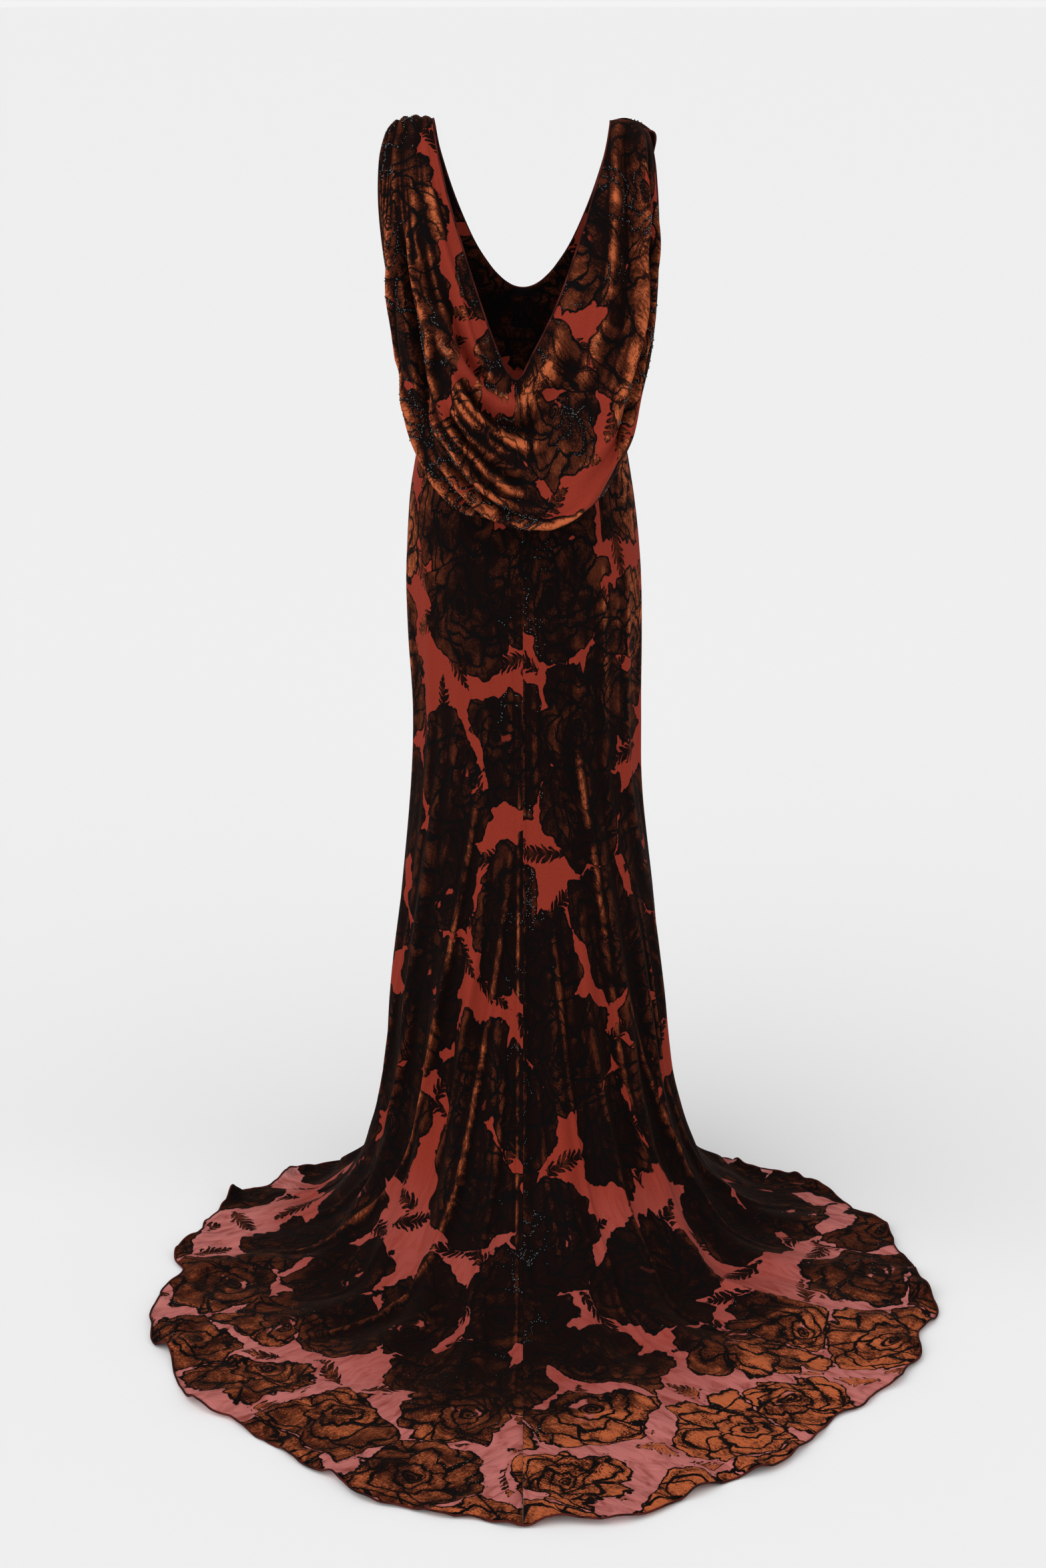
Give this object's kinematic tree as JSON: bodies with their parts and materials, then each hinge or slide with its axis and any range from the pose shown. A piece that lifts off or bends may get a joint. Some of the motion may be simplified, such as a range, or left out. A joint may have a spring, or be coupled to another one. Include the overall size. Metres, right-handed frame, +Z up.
{
  "type": "bias-cut maxi dress",
  "caption": "Bias-cut evening dress with wide shoulder straps, a low V back with a draped cowl, a slim skirt and a long fanned train, held in its worn form.",
  "frame": {"origin": "midway between the two shoulder seams, at shoulder height, where the wearer holds the dress up", "axes": "+Z up, +Y out of the front, -Y towards the cowl and the train, +X to the wearer's right"},
  "size_m": [1.0265, 1.128, 1.5162],
  "materials": {
    "back_cowl": "devore velvet on chiffon, brown to copper on brick red",
    "front_bodice": "devore velvet on chiffon, brown to copper on brick red",
    "back_skirt_left": "devore velvet on chiffon, brown to copper on brick red",
    "back_skirt_right": "devore velvet on chiffon, brown to copper on brick red",
    "front_skirt": "devore velvet on chiffon, brown to copper on brick red"
  },
  "bodies": {
    "root": {"back_cowl": "back_cowl", "front_bodice": "front_bodice", "back_skirt_left": "back_skirt_left", "back_skirt_right": "back_skirt_right", "front_skirt": "front_skirt"}
  },
  "joints": []
}
